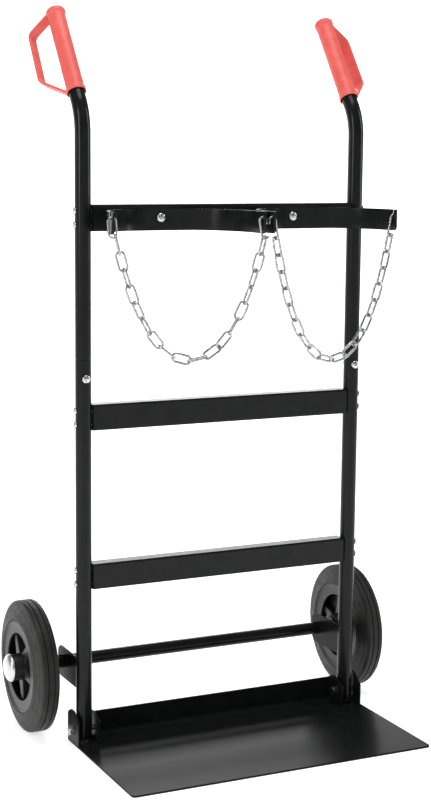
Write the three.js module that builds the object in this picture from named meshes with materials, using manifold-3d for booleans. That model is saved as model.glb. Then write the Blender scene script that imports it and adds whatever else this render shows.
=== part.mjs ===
// Two-cylinder welding gas cart: a tubular frame in two joined halves with three channel
// crossbars, a toe plate, half-ring cylinder cradles with retaining chains, guarded hand grips
// and two rubber-tyred wheels on a through axle.
// Millimetres. X runs across the cart, Y from front to back, Z up. Floor at Z = 0.

import * as THREE from 'three';
import { mergeVertices } from 'three/addons/utils/BufferGeometryUtils.js';
import Module from 'manifold-3d';

const wasm = await Module();
wasm.setup();

// ---------------------------------------------------------------- driving dimensions

const gap = 0.3; // left between touching pieces
const sides = { left: -1, right: 1 };

// Uprights. Y = 0 is the plane of their centrelines until the whole cart is centred.
const uprightSpacing = 446;
const uprightX = uprightSpacing / 2;
const tubeRadius = 11.75;
const tubeWall = 2;
const tubeBore = tubeRadius - tubeWall;
const tubeFoot = 8.3;
const seamHeight = 577;
const spigotLength = 50;
const spigotRadius = tubeBore - gap;
const spigotBore = spigotRadius - 1.8;

// Handle bend and grip, measured along the leaning part of the handle from the bend's corner.
const bendHeight = 924.4;
const bendRadius = 80;
const handleLean = THREE.MathUtils.degToRad(36);
const gripStart = 39;
const gripLength = 149.5;
const gripRadius = 13.4;
const gripRim = 14.6;
const gripCap = 6;
const guardTurn = { left: 50, right: 28 }; // degrees back from straight outwards
const guardWidth = 18;
const guardThickness = 4;

// Toe plate with a bent-up rear edge and two ears round the foot of each upright.
const toeWidth = 481.5;
const toeFront = 230; // ahead of the uprights
const toeBack = 22; // behind the uprights
const toeThickness = 3;
const toeCorner = 7;
const upstandHeight = 39.5;
const upstandRadius = 6;
const earSpacing = 35.5; // outside faces of one pair of ears
const earFront = 23;
const earRearChamfer = { length: 11, height: 7 };
const outerEar = { height: 51.5, frontChamfer: { length: 21, height: 16 } };
const innerEar = { height: 46, frontChamfer: { length: 22, height: 9 } };
const toeBoltHeight = 22;

// Channel crossbars, by the height of their middle.
const crossbarHeights = { top: 780, middle: 492, lower: 255 };
const crossbarHeight = 38.4;
const crossbarFront = -10;
const crossbarDepth = 22;
const sheet = 2;
const screwSpacing = 20;

// Cradles: a half ring with its inner arm carried straight on.
const cradleX = 116;
const cradleRadius = 110;
const cradleThickness = 3;
const cradleBottom = 762;
const cradleTop = 793;
const cradleInnerArm = 30;
const cradleBoltX = 108;
const hangerHeight = 785;
const hangerRadius = 3.4;
const outerHangerSetback = 8;
const innerHangerSetback = 8;

// Axle, wheels and the plates that carry them.
const axleY = 91;
const wheelRadius = 100;
const axleRadius = 10;
const axleBore = 8;
const axleHalfLength = 309;
const wheelX = 276;
const bracketTop = 124;
const bracketBottom = 76;
const bracketBack = 107;
const bracketCorner = 13;
const tyreHalfWidth = 19.5; // at the bore, where the cone of the sidewall ends
const tyreBore = 70;
const rimHalfWidth = 19;
const rimOpening = 51;
const hubRadius = 20;
const hubHalfWidth = 28;
const webThickness = 5;
const spokeHalfDepth = 15;
const spokeCount = 5;
const capRadius = 21;

// Chain.
const wireRadius = 1.5;
const chainSag = 200;
const chainRadius = 2.5;
const linkPitch = 24.3;

// ---------------------------------------------------------------- materials

function finish(color, roughness, metalness) {
  return new THREE.MeshStandardMaterial({ color, roughness, metalness });
}

const blackPaint = finish(0x111113, 0.3, 0.1);
const zinc = finish(0xc9ccd0, 0.3, 1);
const redPlastic = finish(0xd8434a, 0.45, 0);
const blackPlastic = finish(0x141414, 0.5, 0);
const rubber = finish(0x2b2c2e, 0.8, 0);
const rimPlastic = finish(0x2a2c2d, 0.35, 0);

// ---------------------------------------------------------------- geometry helpers

// A closed mesh with shared vertices and nothing but positions.
function welded(geometry) {
  const plain = geometry.clone();
  plain.deleteAttribute('normal');
  plain.deleteAttribute('uv');
  return mergeVertices(plain, 1e-4);
}

function solid(geometry) {
  const mesh = welded(geometry);
  return new wasm.Manifold(new wasm.Mesh({
    numProp: 3,
    vertProperties: new Float32Array(mesh.attributes.position.array),
    triVerts: new Uint32Array(mesh.index.array),
  }));
}

function geometryOf(body) {
  const mesh = body.getMesh();
  const geometry = new THREE.BufferGeometry();
  geometry.setAttribute('position', new THREE.BufferAttribute(mesh.vertProperties, 3));
  geometry.setIndex(new THREE.BufferAttribute(mesh.triVerts, 1));
  return geometry;
}

// First geometry joined with the others in `added`, then cut by those in `removed`.
function shaped(added, removed = []) {
  let body = solid(added[0]);
  for (const extra of added.slice(1)) {
    body = body.add(solid(extra));
  }
  for (const tool of removed) {
    body = body.subtract(solid(tool));
  }
  return geometryOf(body);
}

function box(low, high) {
  const size = high.map((value, axis) => value - low[axis]);
  const middle = high.map((value, axis) => (value + low[axis]) / 2);
  return new THREE.BoxGeometry(...size).translate(...middle);
}

// A round bar, or a prism when sidesCount is small, between two points.
function bar(from, to, radius, sidesCount = 20) {
  const start = new THREE.Vector3(...from);
  const end = new THREE.Vector3(...to);
  const direction = end.clone().sub(start);
  const geometry = new THREE.CylinderGeometry(radius, radius, direction.length(), sidesCount);
  const turn = new THREE.Quaternion().setFromUnitVectors(
    new THREE.Vector3(0, 1, 0),
    direction.clone().normalize(),
  );
  const middle = start.add(end).multiplyScalar(0.5);
  return geometry.applyQuaternion(turn).translate(middle.x, middle.y, middle.z);
}

function hexPrism(from, to, acrossFlats) {
  return bar(from, to, acrossFlats / 2 / Math.cos(Math.PI / 6), 6);
}

// A profile of [radius, height] points turned about Z.
function turned(profile, segments) {
  const points = profile.map(([radius, height]) => new THREE.Vector2(radius, height));
  return new THREE.LatheGeometry(points, segments).rotateX(Math.PI / 2);
}

// The same, turned about X, with height along X.
function turnedAboutX(profile, segments) {
  return turned(profile, segments).rotateY(Math.PI / 2);
}

// An outline of [y, z] points made into a sheet from x = low to x = high.
function sheetAcrossX(outline, low, high) {
  const shape = new THREE.Shape(outline.map(([y, z]) => new THREE.Vector2(y, z)));
  const geometry = new THREE.ExtrudeGeometry(shape, { depth: high - low, bevelEnabled: false });
  const turn = new THREE.Matrix4().makeBasis(
    new THREE.Vector3(0, 1, 0),
    new THREE.Vector3(0, 0, 1),
    new THREE.Vector3(1, 0, 0),
  );
  return geometry.applyMatrix4(turn).translate(low, 0, 0);
}

// Points of an arc from angle `start` to `end`, in radians, in the plane of a profile.
function arcPoints(centre, radius, start, end, steps) {
  const points = [];
  for (let step = 0; step <= steps; step += 1) {
    const angle = start + ((end - start) * step) / steps;
    points.push([centre[0] + radius * Math.cos(angle), centre[1] + radius * Math.sin(angle)]);
  }
  return points;
}

// A curve through given points whose sections stand exactly on those points.
class Route extends THREE.Curve {
  constructor(points) {
    super();
    this.points = points;
  }

  getPoint(t, target = new THREE.Vector3()) {
    const position = t * (this.points.length - 1);
    const index = Math.min(Math.floor(position + 1e-9), this.points.length - 2);
    return target.lerpVectors(this.points[index], this.points[index + 1], position - index);
  }

  getPointAt(t, target) {
    return this.getPoint(t, target);
  }

  getSpacedPoints() {
    return this.points.map((point) => point.clone());
  }

  getTangentAt(t, target = new THREE.Vector3()) {
    const index = Math.round(t * (this.points.length - 1));
    const before = this.points[Math.max(index - 1, 0)];
    const after = this.points[Math.min(index + 1, this.points.length - 1)];
    return target.subVectors(after, before).normalize();
  }
}

function swept(shape, points) {
  const extrudePath = new Route(points);
  return new THREE.ExtrudeGeometry(shape, { steps: points.length - 1, extrudePath });
}

function roundSection(radius, sidesCount) {
  const corners = [];
  for (let corner = 0; corner < sidesCount; corner += 1) {
    const angle = (corner / sidesCount) * 2 * Math.PI;
    corners.push(new THREE.Vector2(radius * Math.cos(angle), radius * Math.sin(angle)));
  }
  return new THREE.Shape(corners);
}

// Corner points joined by straight runs, with each inner corner rounded. [a, b] points.
function roundedRun(corners, radius, steps) {
  const points = [corners[0]];
  for (let index = 1; index < corners.length - 1; index += 1) {
    const corner = new THREE.Vector2(...corners[index]);
    const incoming = new THREE.Vector2(...corners[index - 1]).sub(corner).normalize();
    const outgoing = new THREE.Vector2(...corners[index + 1]).sub(corner).normalize();
    const halfAngle = Math.acos(incoming.dot(outgoing)) / 2;
    const bisector = incoming.clone().add(outgoing).normalize();
    const centre = corner.clone().addScaledVector(bisector, radius / Math.sin(halfAngle));
    const tangentLength = radius / Math.tan(halfAngle);
    const first = corner.clone().addScaledVector(incoming, tangentLength).sub(centre);
    const last = corner.clone().addScaledVector(outgoing, tangentLength).sub(centre);
    const sweep = Math.atan2(first.cross(last), first.dot(last));
    points.push(...arcPoints([centre.x, centre.y], radius, first.angle(), first.angle() + sweep, steps));
  }
  points.push(corners[corners.length - 1]);
  return points;
}

// ---------------------------------------------------------------- assembly

const cart = new THREE.Group();
cart.position.y = (toeFront - axleY - wheelRadius) / 2;

function place(name, geometry, material, parent = cart) {
  const mesh = new THREE.Mesh(welded(geometry), material);
  mesh.name = name;
  parent.add(mesh);
  return mesh;
}

// ---------------------------------------------------------------- uprights and handles

const jointBoltHeight = seamHeight - 27.5;
const jointHoleRadius = 3.3;
const screwHoleRadius = 2.8;
const toeHoleRadius = 4.4;
const tubeSides = 24;

// Heights of the two screws in a crossbar.
function screwHeights(crossbar) {
  return [crossbarHeights[crossbar] - screwSpacing / 2, crossbarHeights[crossbar] + screwSpacing / 2];
}

function crossHole(x, height, radius) {
  return bar([x - 20, 0, height], [x + 20, 0, height], radius, 12);
}

function jointHole(x) {
  return bar([x, -20, jointBoltHeight], [x, 20, jointBoltHeight], jointHoleRadius, 16);
}

function lowerTube(x) {
  const top = seamHeight - gap;
  const holes = [...screwHeights('middle'), ...screwHeights('lower')]
    .map((height) => crossHole(x, height, screwHoleRadius));
  return shaped(
    [bar([x, 0, tubeFoot], [x, 0, top], tubeRadius, tubeSides)],
    [
      bar([x, 0, tubeFoot - 5], [x, 0, top + 5], tubeBore, tubeSides),
      crossHole(x, toeBoltHeight, toeHoleRadius),
      jointHole(x),
      ...holes,
    ],
  );
}

// Points of the handle's centreline from a start height to a distance past the bend's corner.
function handleRoute(x, startHeight, distance) {
  const tangentLength = bendRadius * Math.tan(handleLean / 2);
  const steps = 6;
  const points = [new THREE.Vector3(x, 0, startHeight)];
  for (let step = 0; step <= steps; step += 1) {
    const angle = (handleLean * step) / steps;
    points.push(new THREE.Vector3(
      x,
      bendRadius * (1 - Math.cos(angle)),
      bendHeight - tangentLength + bendRadius * Math.sin(angle),
    ));
  }
  points.push(new THREE.Vector3(
    x,
    distance * Math.sin(handleLean),
    bendHeight + distance * Math.cos(handleLean),
  ));
  return points;
}

function handleTube(x) {
  const end = gripStart + gripLength - gripCap - 3;
  const spigotFoot = seamHeight - spigotLength;
  const holes = screwHeights('top').map((height) => crossHole(x, height, screwHoleRadius));
  return shaped(
    [
      swept(roundSection(tubeRadius, tubeSides), handleRoute(x, seamHeight, end)),
      bar([x, 0, spigotFoot], [x, 0, seamHeight + 8], spigotRadius, tubeSides),
    ],
    [
      swept(roundSection(tubeBore, tubeSides), handleRoute(x, seamHeight + 5, end + 5)),
      bar([x, 0, spigotFoot - 5], [x, 0, seamHeight + 10], spigotBore, tubeSides),
      jointHole(x),
      ...holes,
    ],
  );
}

// Plastic insert that closes the open foot of an upright.
function footPlug(x) {
  const flange = tubeFoot - gap;
  return shaped([
    bar([x, 0, flange - 2.2], [x, 0, flange], tubeRadius, 24),
    bar([x, 0, flange - 1], [x, 0, flange + 8], tubeBore - gap, 24),
  ]);
}

// ---------------------------------------------------------------- grips

// Moulded grip in its own frame: Z along the handle, X towards the knuckle guard.
function gripGeometry() {
  const bore = tubeRadius + gap;
  const sleeve = turned([
    [0, gripLength - gripCap],
    [bore, gripLength - gripCap],
    [bore, 0],
    [gripRim, 0],
    [gripRim, 7],
    [gripRadius, 9],
    [gripRadius, gripLength - 10],
    [gripRim, gripLength - 7],
    [gripRim, gripLength - 3],
    [gripRim - 2, gripLength - 0.6],
    [0, gripLength],
  ], 28);
  const strap = new THREE.Shape([
    new THREE.Vector2(-guardWidth / 2, -guardThickness / 2),
    new THREE.Vector2(guardWidth / 2, -guardThickness / 2),
    new THREE.Vector2(guardWidth / 2, guardThickness / 2),
    new THREE.Vector2(-guardWidth / 2, guardThickness / 2),
  ]);
  const run = roundedRun([
    [11, 3],
    [49, 44],
    [47, 127],
    [11, 142],
  ], 12, 5);
  const guard = swept(strap, run.map(([out, along]) => new THREE.Vector3(out, 0, along)));
  const channel = bar([0, 0, -5], [0, 0, gripLength - gripCap], bore, 28);
  return shaped([sleeve, guard], [channel]);
}

function placeGrip(side, sign) {
  const mesh = place(`grip_${side}`, gripGeometry(), redPlastic);
  const turn = THREE.MathUtils.degToRad(guardTurn[side]);
  const along = new THREE.Vector3(0, Math.sin(handleLean), Math.cos(handleLean));
  const back = new THREE.Vector3(0, Math.cos(handleLean), -Math.sin(handleLean));
  const outward = new THREE.Vector3(sign, 0, 0)
    .multiplyScalar(Math.cos(turn))
    .addScaledVector(back, Math.sin(turn));
  const across = along.clone().cross(outward);
  mesh.setRotationFromMatrix(new THREE.Matrix4().makeBasis(outward, across, along));
  mesh.position.set(
    sign * uprightX,
    gripStart * Math.sin(handleLean),
    bendHeight + gripStart * Math.cos(handleLean),
  );
}

// ---------------------------------------------------------------- crossbars and their screws

const crossbarEnd = uprightX - tubeRadius - gap;

// Channel section open to the back, with bent edges at the front corners.
function channelOutline(middle) {
  const front = crossbarFront;
  const back = crossbarFront + crossbarDepth;
  const half = crossbarHeight / 2;
  const bend = 3;
  return [
    [back, middle - half],
    [back, middle - half + sheet],
    [front + sheet, middle - half + sheet],
    [front + sheet, middle + half - sheet],
    [back, middle + half - sheet],
    [back, middle + half],
    ...arcPoints([front + bend, middle + half - bend], bend, Math.PI / 2, Math.PI, 3),
    ...arcPoints([front + bend, middle - half + bend], bend, Math.PI, 1.5 * Math.PI, 3),
  ];
}

function crossbar(name) {
  const middle = crossbarHeights[name];
  const half = crossbarHeight / 2 - sheet / 2;
  const added = [sheetAcrossX(channelOutline(middle), -crossbarEnd, crossbarEnd)];
  const removed = [];
  for (const sign of Object.values(sides)) {
    const tab = [sign * crossbarEnd, sign * (crossbarEnd - sheet)].sort((a, b) => a - b);
    added.push(box(
      [tab[0], crossbarFront + sheet / 2, middle - half],
      [tab[1], crossbarFront + crossbarDepth - 3, middle + half],
    ));
    for (const height of screwHeights(name)) {
      removed.push(crossHole(sign * crossbarEnd, height, screwHoleRadius));
    }
    if (name === 'top') {
      const x = sign * cradleBoltX;
      removed.push(bar([x, -20, middle], [x, 0, middle], jointHoleRadius, 16));
    }
  }
  return shaped(added, removed);
}

// A pan-head fastener seated at a point, with its shank running along `direction`.
function panHead(seat, direction, headRadius, headHeight, shankRadius, shankLength) {
  const turn = new THREE.Quaternion().setFromUnitVectors(
    new THREE.Vector3(0, 0, -1),
    new THREE.Vector3(...direction),
  );
  return turned([
    [0, -shankLength],
    [shankRadius, -shankLength],
    [shankRadius, 0],
    [headRadius, 0],
    [headRadius, headHeight * 0.45],
    [headRadius * 0.72, headHeight],
    [0, headHeight],
  ], 14).applyQuaternion(turn).translate(...seat);
}

function nut(from, to, acrossFlats, holeRadius) {
  const direction = to.map((value, axis) => value - from[axis]);
  const before = from.map((value, axis) => value - direction[axis]);
  const after = to.map((value, axis) => value + direction[axis]);
  return shaped([hexPrism(from, to, acrossFlats)], [bar(before, after, holeRadius, 16)]);
}

// ---------------------------------------------------------------- toe plate

// Outline of an ear in [y, z], with both top corners cut off.
function earOutline({ height, frontChamfer }) {
  const rear = toeBack;
  const front = -earFront;
  return [
    [front, toeThickness / 2],
    [rear, toeThickness / 2],
    [rear, height - earRearChamfer.height],
    [rear - earRearChamfer.length, height],
    [front + frontChamfer.length, height],
    [front, height - frontChamfer.height],
  ];
}

function toePlate() {
  const half = toeWidth / 2;
  const corners = [
    [half, toeBack],
    [-half, toeBack],
    ...arcPoints([-half + toeCorner, -toeFront + toeCorner], toeCorner, Math.PI, 1.5 * Math.PI, 5),
    ...arcPoints([half - toeCorner, -toeFront + toeCorner], toeCorner, 1.5 * Math.PI, 2 * Math.PI, 5),
  ];
  const outline = new THREE.Shape(corners.map(([x, y]) => new THREE.Vector2(x, y)));
  const sheetDepth = { depth: toeThickness, bevelEnabled: false };
  const upstandEnd = uprightX - earSpacing / 2 + toeThickness / 2;
  const bend = upstandRadius;
  const inner = toeBack - toeThickness;
  const upstand = sheetAcrossX([
    [inner - bend - 3, toeThickness / 2],
    [toeBack, toeThickness / 2],
    [toeBack, upstandHeight],
    [inner, upstandHeight],
    ...arcPoints([inner - bend, toeThickness + bend], bend, 0, -Math.PI / 2, 5),
    [inner - bend - 3, toeThickness],
  ], -upstandEnd, upstandEnd);
  const added = [new THREE.ExtrudeGeometry(outline, sheetDepth), upstand];
  const removed = [];
  for (const sign of Object.values(sides)) {
    for (const offset of [-1, 1]) {
      const outside = sign * uprightX + (offset * earSpacing) / 2;
      const inside = outside - offset * toeThickness;
      const ear = earOutline(offset === sign ? outerEar : innerEar);
      added.push(sheetAcrossX(ear, Math.min(outside, inside), Math.max(outside, inside)));
    }
    removed.push(bar(
      [sign * uprightX - 30, 0, toeBoltHeight],
      [sign * uprightX + 30, 0, toeBoltHeight],
      toeHoleRadius,
      16,
    ));
  }
  return shaped(added, removed);
}

function toeBolt(sign) {
  const seat = sign * (uprightX - earSpacing / 2 - gap);
  const end = sign * (uprightX + earSpacing / 2 + 8);
  return shaped([
    hexPrism([seat - sign * 5.3, 0, toeBoltHeight], [seat, 0, toeBoltHeight], 13),
    bar([seat - sign * 2, 0, toeBoltHeight], [end, 0, toeBoltHeight], 3.9, 16),
  ]);
}

// ---------------------------------------------------------------- cradles

const cradleY = crossbarFront - gap - cradleRadius;
const outerHangerY = cradleY + outerHangerSetback;
const innerHangerY = cradleY - cradleInnerArm + innerHangerSetback;

// Seen from above: half ring open to the front, inner arm towards the middle of the cart.
function cradle(sign) {
  const inside = cradleRadius - cradleThickness;
  const outline = [
    ...arcPoints([0, 0], cradleRadius, 0, Math.PI, 36),
    [-cradleRadius, -cradleInnerArm],
    [-inside, -cradleInnerArm],
    ...arcPoints([0, 0], inside, Math.PI, 0, 36),
  ];
  const points = outline.map(([out, back]) => new THREE.Vector2(
    sign * (cradleX + out),
    cradleY + back,
  ));
  const strip = new THREE.ExtrudeGeometry(new THREE.Shape(points), {
    depth: cradleTop - cradleBottom,
    bevelEnabled: false,
  }).translate(0, 0, cradleBottom);
  const outerX = sign * (cradleX + cradleRadius - cradleThickness / 2);
  const innerX = sign * (cradleX - cradleRadius + cradleThickness / 2);
  const holeHeight = hangerHeight + hangerRadius - wireRadius - 2 * gap;
  const boltX = sign * cradleBoltX;
  const boltHeight = crossbarHeights.top;
  return shaped([strip], [
    bar([boltX, -30, boltHeight], [boltX, 0, boltHeight], jointHoleRadius, 16),
    bar([innerX - 8, innerHangerY, holeHeight], [innerX + 8, innerHangerY, holeHeight], hangerRadius, 16),
    bar([outerX - 8, outerHangerY, holeHeight], [outerX + 8, outerHangerY, holeHeight], hangerRadius, 16),
    box(
      [outerX - 8, outerHangerY - hangerRadius, holeHeight],
      [outerX + 8, outerHangerY + hangerRadius, cradleTop + 5],
    ),
    lowerCornerCut(innerX, cradleY - cradleInnerArm),
    lowerCornerCut(outerX, cradleY),
  ]);
}

// Takes the sharp lower corner off the free end of an arm.
function lowerCornerCut(x, endY) {
  const size = 6;
  return sheetAcrossX([
    [endY - 2, cradleBottom - 2],
    [endY + size, cradleBottom - 2],
    [endY + size - 2, cradleBottom],
    [endY, cradleBottom + size - 2],
    [endY - 2, cradleBottom + size],
  ], x - 8, x + 8);
}

// ---------------------------------------------------------------- chains

const outerHanger = [cradleX + cradleRadius - cradleThickness / 2, outerHangerY];
const innerHanger = [cradleX - cradleRadius + cradleThickness / 2, innerHangerY];
const hangerSpan = Math.hypot(outerHanger[0] - innerHanger[0], outerHanger[1] - innerHanger[1]);

// The a of z = a cosh(x / a) for a chain of the given span and sag.
function catenaryScale(halfSpan, sag) {
  let low = 10;
  let high = 1000;
  for (let round = 0; round < 60; round += 1) {
    const middle = (low + high) / 2;
    const middleSag = middle * (Math.cosh(halfSpan / middle) - 1);
    if (middleSag > sag) {
      low = middle;
    } else {
      high = middle;
    }
  }
  return low;
}

const chainScale = catenaryScale(hangerSpan / 2, chainSag);
const chainHalfLength = chainScale * Math.sinh(hangerSpan / 2 / chainScale);
const hangerLean = Math.atan(chainScale / chainHalfLength);

// Point of the hanging chain at a signed length from its lowest point, in the chain's frame.
function chainPoint(length) {
  const x = chainScale * Math.asinh(length / chainScale);
  const z = chainScale * (Math.cosh(x / chainScale) - 1) - chainSag;
  return new THREE.Vector3(x, 0, z);
}

// The chain as a bar of the same weight between its two end fittings.
function chainBar(startFitting, endFitting) {
  const steps = 36;
  const start = -chainHalfLength + startFitting;
  const end = chainHalfLength - endFitting;
  const points = [];
  for (let step = 0; step <= steps; step += 1) {
    points.push(chainPoint(start + ((end - start) * step) / steps));
  }
  return swept(roundSection(chainRadius, 8), points);
}

// Hook hung through a hole at the origin, with its long leg on the -X side.
const hookReach = 31;

function hook() {
  const bendSize = 4.6;
  const reach = hookReach - bendSize;
  const eyeCentre = [-reach * Math.sin(hangerLean), -reach * Math.cos(hangerLean)];
  const run = [
    [bendSize, -bendSize - 4],
    ...arcPoints([0, -bendSize], bendSize, 0, Math.PI, 10),
    ...arcPoints(eyeCentre, bendSize, Math.PI, 2 * Math.PI, 10),
  ];
  return swept(roundSection(wireRadius, 8), run.map(([x, z]) => new THREE.Vector3(x, 0, z)));
}

// Long oval link hung like the hook, with its butt joint left open on the +X side.
const endLinkReach = linkPitch + wireRadius;
const endLinkLean = THREE.MathUtils.degToRad(5);

function endLink() {
  const bendSize = 5.5;
  const straight = endLinkReach + wireRadius - 2 * bendSize;
  const seam = 0.8;
  const middle = -bendSize - straight / 2;
  const run = [
    [bendSize, middle + seam / 2],
    ...arcPoints([0, -bendSize], bendSize, 0, Math.PI, 10),
    ...arcPoints([0, -bendSize - straight], bendSize, Math.PI, 2 * Math.PI, 10),
    [bendSize, middle - seam / 2],
  ];
  const points = run.map(([x, z]) => new THREE.Vector3(x, 0, z));
  return swept(roundSection(wireRadius, 8), points).rotateY(endLinkLean);
}

function placeChain(side, sign) {
  const chain = new THREE.Group();
  const turn = Math.atan2(outerHanger[1] - innerHanger[1], outerHanger[0] - innerHanger[0]);
  chain.rotation.z = sign * turn;
  chain.position.set(
    (sign * (outerHanger[0] + innerHanger[0])) / 2,
    (outerHanger[1] + innerHanger[1]) / 2,
    hangerHeight,
  );
  cart.add(chain);
  const clearance = wireRadius + 2 * gap;
  const leftFitting = (side === 'left' ? endLinkReach + wireRadius : hookReach) + clearance;
  place(`chain_${side}`, chainBar(leftFitting, hookReach + clearance), zinc, chain);
  for (const [end, endSign] of [['inner', -sign], ['outer', sign]]) {
    const linked = side === 'left' && end === 'outer';
    const name = linked ? 'chain_end_link' : `chain_hook_${side}_${end}`;
    const fitting = place(name, linked ? endLink() : hook(), zinc, chain);
    fitting.position.x = (endSign * hangerSpan) / 2;
    fitting.rotation.z = endSign > 0 ? 0 : Math.PI;
  }
}

// ---------------------------------------------------------------- axle and wheels

function axleBracket(x) {
  const front = tubeRadius + gap;
  const outline = [
    [front, bracketBottom],
    ...arcPoints(
      [bracketBack - bracketCorner, bracketBottom + bracketCorner],
      bracketCorner,
      -Math.PI / 2,
      0,
      5,
    ),
    ...arcPoints(
      [bracketBack - bracketCorner, bracketTop - bracketCorner],
      bracketCorner,
      0,
      Math.PI / 2,
      5,
    ),
    [front, bracketTop],
  ];
  return shaped(
    [sheetAcrossX(outline, x - 1.5, x + 1.5)],
    [bar([x - 10, axleY, wheelRadius], [x + 10, axleY, wheelRadius], axleRadius + gap, 28)],
  );
}

function axle() {
  const end = axleHalfLength;
  return shaped(
    [bar([-end, axleY, wheelRadius], [end, axleY, wheelRadius], axleRadius, 28)],
    [bar([-end - 5, axleY, wheelRadius], [end + 5, axleY, wheelRadius], axleBore, 20)],
  );
}

// Narrow crowned tread with a groove each side of its middle, then a conical sidewall.
function tyre() {
  const groove = { middle: 4.6, half: 0.9, depth: 2 };
  const grooveBottom = wheelRadius - groove.depth;
  const half = [
    [wheelRadius, 0],
    [wheelRadius, groove.middle - groove.half],
    [grooveBottom, groove.middle - groove.half * 0.6],
    [grooveBottom, groove.middle + groove.half * 0.6],
    [wheelRadius, groove.middle + groove.half],
    [wheelRadius - 0.3, 10.6],
    [wheelRadius - 1.4, 12.2],
    [wheelRadius - 3.5, 13.2],
    [wheelRadius - 10, 14.8],
    [wheelRadius - 18, 16.7],
    [wheelRadius - 26, 18.7],
    [tyreBore, tyreHalfWidth],
  ];
  const lower = half.slice(1).map(([radius, offset]) => [radius, -offset]).reverse();
  const profile = [...lower, ...half];
  return turnedAboutX([...profile, profile[0]], 40);
}

function rim() {
  const outer = tyreBore - gap;
  const edge = rimHalfWidth;
  const lip = 3;
  const barrel = 65;
  const ring = turnedAboutX([
    [outer, -edge],
    [outer, edge],
    [rimOpening, edge],
    [rimOpening, edge - lip],
    [barrel, edge - lip],
    [barrel, -edge + lip],
    [rimOpening, -edge + lip],
    [rimOpening, -edge],
    [outer, -edge],
  ], 40);
  const hub = bar([-hubHalfWidth, 0, 0], [hubHalfWidth, 0, 0], hubRadius, 28);
  const web = bar([-webThickness / 2, 0, 0], [webThickness / 2, 0, 0], barrel + 2, 40);
  const spokes = [];
  for (let spoke = 0; spoke < spokeCount; spoke += 1) {
    const angle = (spoke / spokeCount) * 2 * Math.PI;
    const low = [-spokeHalfDepth, -5, hubRadius - 4];
    const high = [spokeHalfDepth, 5, barrel + 2];
    spokes.push(box(low, high).rotateX(angle));
  }
  const bore = bar([-35, 0, 0], [35, 0, 0], axleRadius + 2 + 2 * gap, 28);
  return shaped([ring, hub, web, ...spokes], [bore]);
}

function hubBush() {
  const outer = axleRadius + 2 + gap;
  return shaped(
    [bar([-hubHalfWidth - 0.5, 0, 0], [hubHalfWidth + 0.5, 0, 0], outer, 28)],
    [bar([-35, 0, 0], [35, 0, 0], axleRadius + gap, 28)],
  );
}

function axleWasher() {
  const start = -hubHalfWidth - 0.5 - gap;
  return shaped(
    [bar([start - 1.6, 0, 0], [start, 0, 0], 17, 28)],
    [bar([-35, 0, 0], [0, 0, 0], axleRadius + gap, 28)],
  );
}

// Domed cap pressed over the end of the axle.
function hubCap() {
  const base = hubHalfWidth + 0.5 + gap;
  const skirt = 2.6;
  const dome = 8.8;
  const socket = axleHalfLength - wheelX + 1;
  const profile = [
    [0, socket],
    [axleRadius + gap, socket],
    [axleRadius + gap, base],
    [capRadius, base],
    [capRadius, base + skirt],
  ];
  const steps = 5;
  for (let step = 1; step <= steps; step += 1) {
    const angle = ((Math.PI / 2) * step) / steps;
    profile.push([capRadius * Math.cos(angle), base + skirt + dome * Math.sin(angle)]);
  }
  profile[profile.length - 1][0] = 0;
  return turnedAboutX(profile, 28);
}

function placeWheel(side, sign) {
  const wheel = new THREE.Group();
  wheel.position.set(sign * wheelX, axleY, wheelRadius);
  wheel.rotation.z = sign > 0 ? 0 : Math.PI;
  cart.add(wheel);
  place(`tyre_${side}`, tyre(), rubber, wheel);
  place(`wheel_rim_${side}`, rim(), rimPlastic, wheel);
  place(`hub_bush_${side}`, hubBush(), blackPlastic, wheel);
  place(`axle_washer_${side}`, axleWasher(), blackPlastic, wheel);
  place(`hub_cap_${side}`, hubCap(), zinc, wheel);
}

// ---------------------------------------------------------------- putting it together

for (const name of Object.keys(crossbarHeights)) {
  place(`crossbar_${name}`, crossbar(name), blackPaint);
}
place('toe_plate', toePlate(), blackPaint);
place('axle', axle(), blackPaint);

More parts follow.
